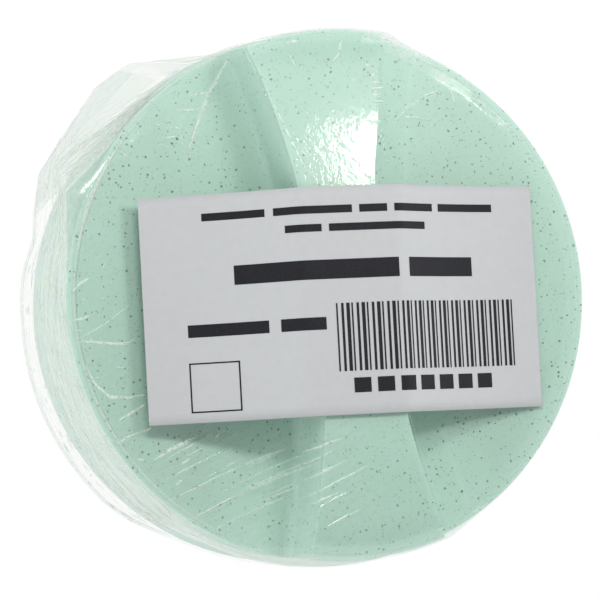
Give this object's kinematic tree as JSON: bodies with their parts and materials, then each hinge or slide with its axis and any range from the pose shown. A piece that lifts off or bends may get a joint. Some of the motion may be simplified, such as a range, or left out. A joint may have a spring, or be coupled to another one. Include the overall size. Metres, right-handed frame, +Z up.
{
  "type": "denture case",
  "caption": "Round speckled plastic case for dentures: cup-shaped tub, push-on lid with a raised bow-tie grip, clear shrink film and a plain paper label over the grip",
  "frame": {"origin": "middle of the base, on the plane that the case stands on", "axes": "+Z up out of the tub through the lid, Y along the grip, X across the grip, with the label's longer wing towards +X"},
  "size_m": [0.0924, 0.0924, 0.0521],
  "materials": {
    "mint_plastic": "mint green polypropylene with fine dark speckles, moulded smooth",
    "shrink_film": "clear shrink film, wrinkled and glossy",
    "label_paper": null
  },
  "bodies": {
    "tub": {"tub": "mint_plastic", "film_round_tub": "shrink_film"},
    "lid": {"lid": "mint_plastic", "film_over_lid": "shrink_film", "label": "label_paper"}
  },
  "joints": [
    {"name": "lid_lift", "type": "slide", "parent": "tub", "child": "lid", "axis": [0, 0, 1], "range_m": [0, 0.06]}
  ]
}
